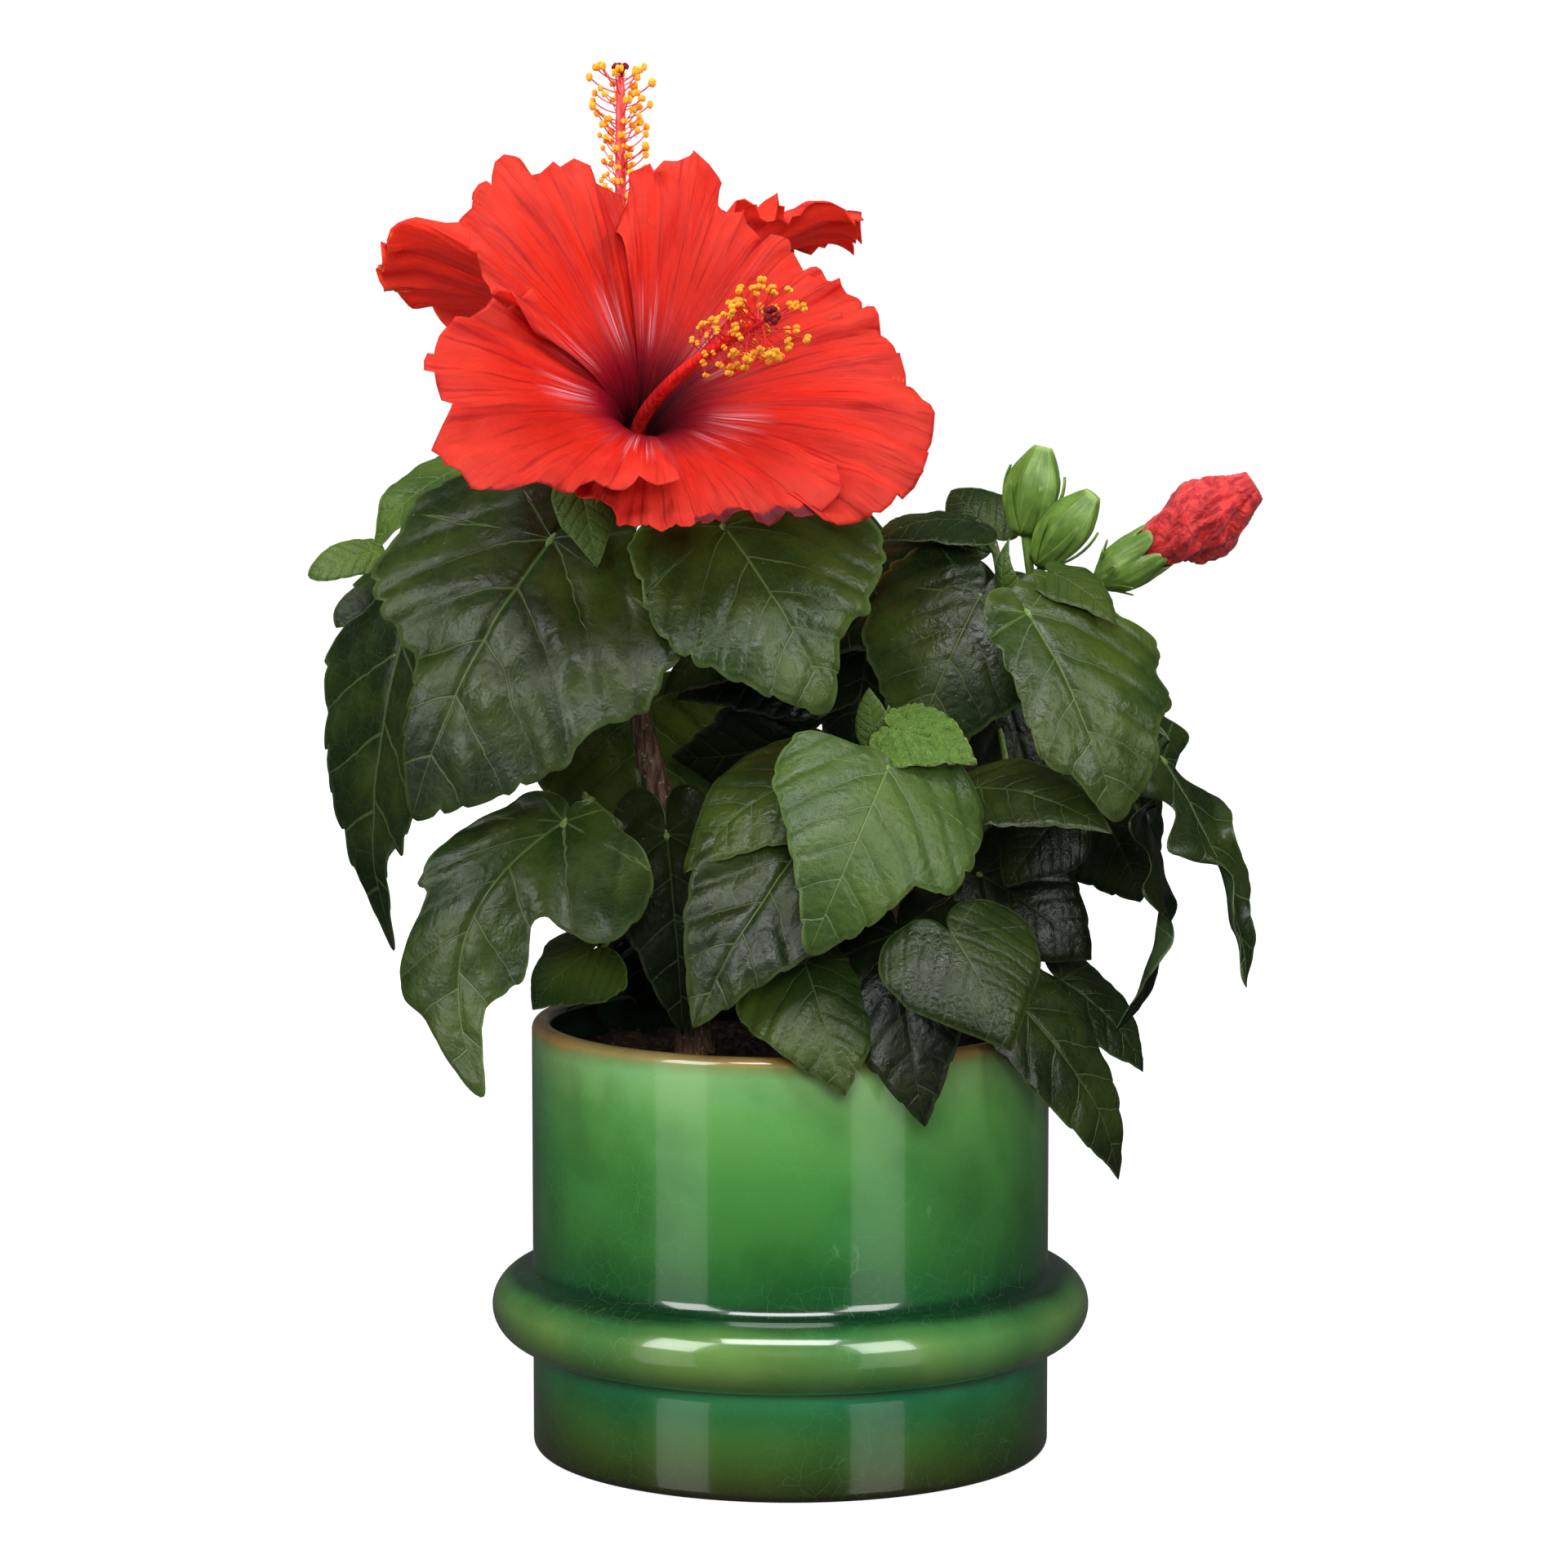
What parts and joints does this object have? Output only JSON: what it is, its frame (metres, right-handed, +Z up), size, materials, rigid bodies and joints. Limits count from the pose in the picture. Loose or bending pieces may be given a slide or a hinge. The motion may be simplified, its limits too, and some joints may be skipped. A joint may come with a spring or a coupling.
{
  "type": "potted hibiscus shrub",
  "caption": "Young flowering hibiscus shrub in a round glazed planter with a rounded ring: large red blooms, buds and glossy heart-shaped leaves.",
  "frame": {"origin": "centre of the planter's flat underside", "axes": "+Z up; -Y is the front, towards which the open front bloom faces; +X to the right seen from the front"},
  "size_m": [0.2721, 0.2544, 0.4048],
  "materials": {
    "bark": "matt brown bark with pale streaks",
    "column": "satin red, with orange-yellow anthers",
    "foliage": "semi-gloss green leaf with paler veins",
    "glaze": "glossy green crackle glaze, paler near the lip and on the ring, brown at the lip",
    "green_parts": "satin light green",
    "petal": "satin red with darker veins and a maroon throat",
    "potting_mix": "dark, moist, crumbly potting mix"
  },
  "bodies": {
    "root": {"bough_back_bloom": "bark", "bough_centre": "bark", "bough_front_bloom": "bark", "bough_low_front": "bark", "bough_right": "bark", "buds": "green_parts", "calyx_back": "green_parts", "calyx_front": "green_parts", "column_back": "column", "column_front": "column", "corolla_back": "petal", "corolla_front": "petal", "foliage_back_left": "foliage", "foliage_back_low": "foliage", "foliage_back_right": "foliage", "foliage_back_top": "foliage", "foliage_centre": "foliage", "foliage_low_back_left": "foliage", "foliage_low_front": "foliage", "foliage_low_left": "foliage", "foliage_low_right": "foliage", "foliage_middle": "foliage", "foliage_middle_right": "foliage", "foliage_right": "foliage", "foliage_upper_left": "foliage", "foliage_upper_middle": "foliage", "foliage_upper_right": "foliage", "furled_bloom": "petal", "furled_bloom_stalk": "green_parts", "furled_calyx": "green_parts", "planter": "glaze", "potting_mix": "potting_mix", "stem_back": "bark", "stem_left": "bark", "stem_right": "bark"}
  },
  "joints": []
}
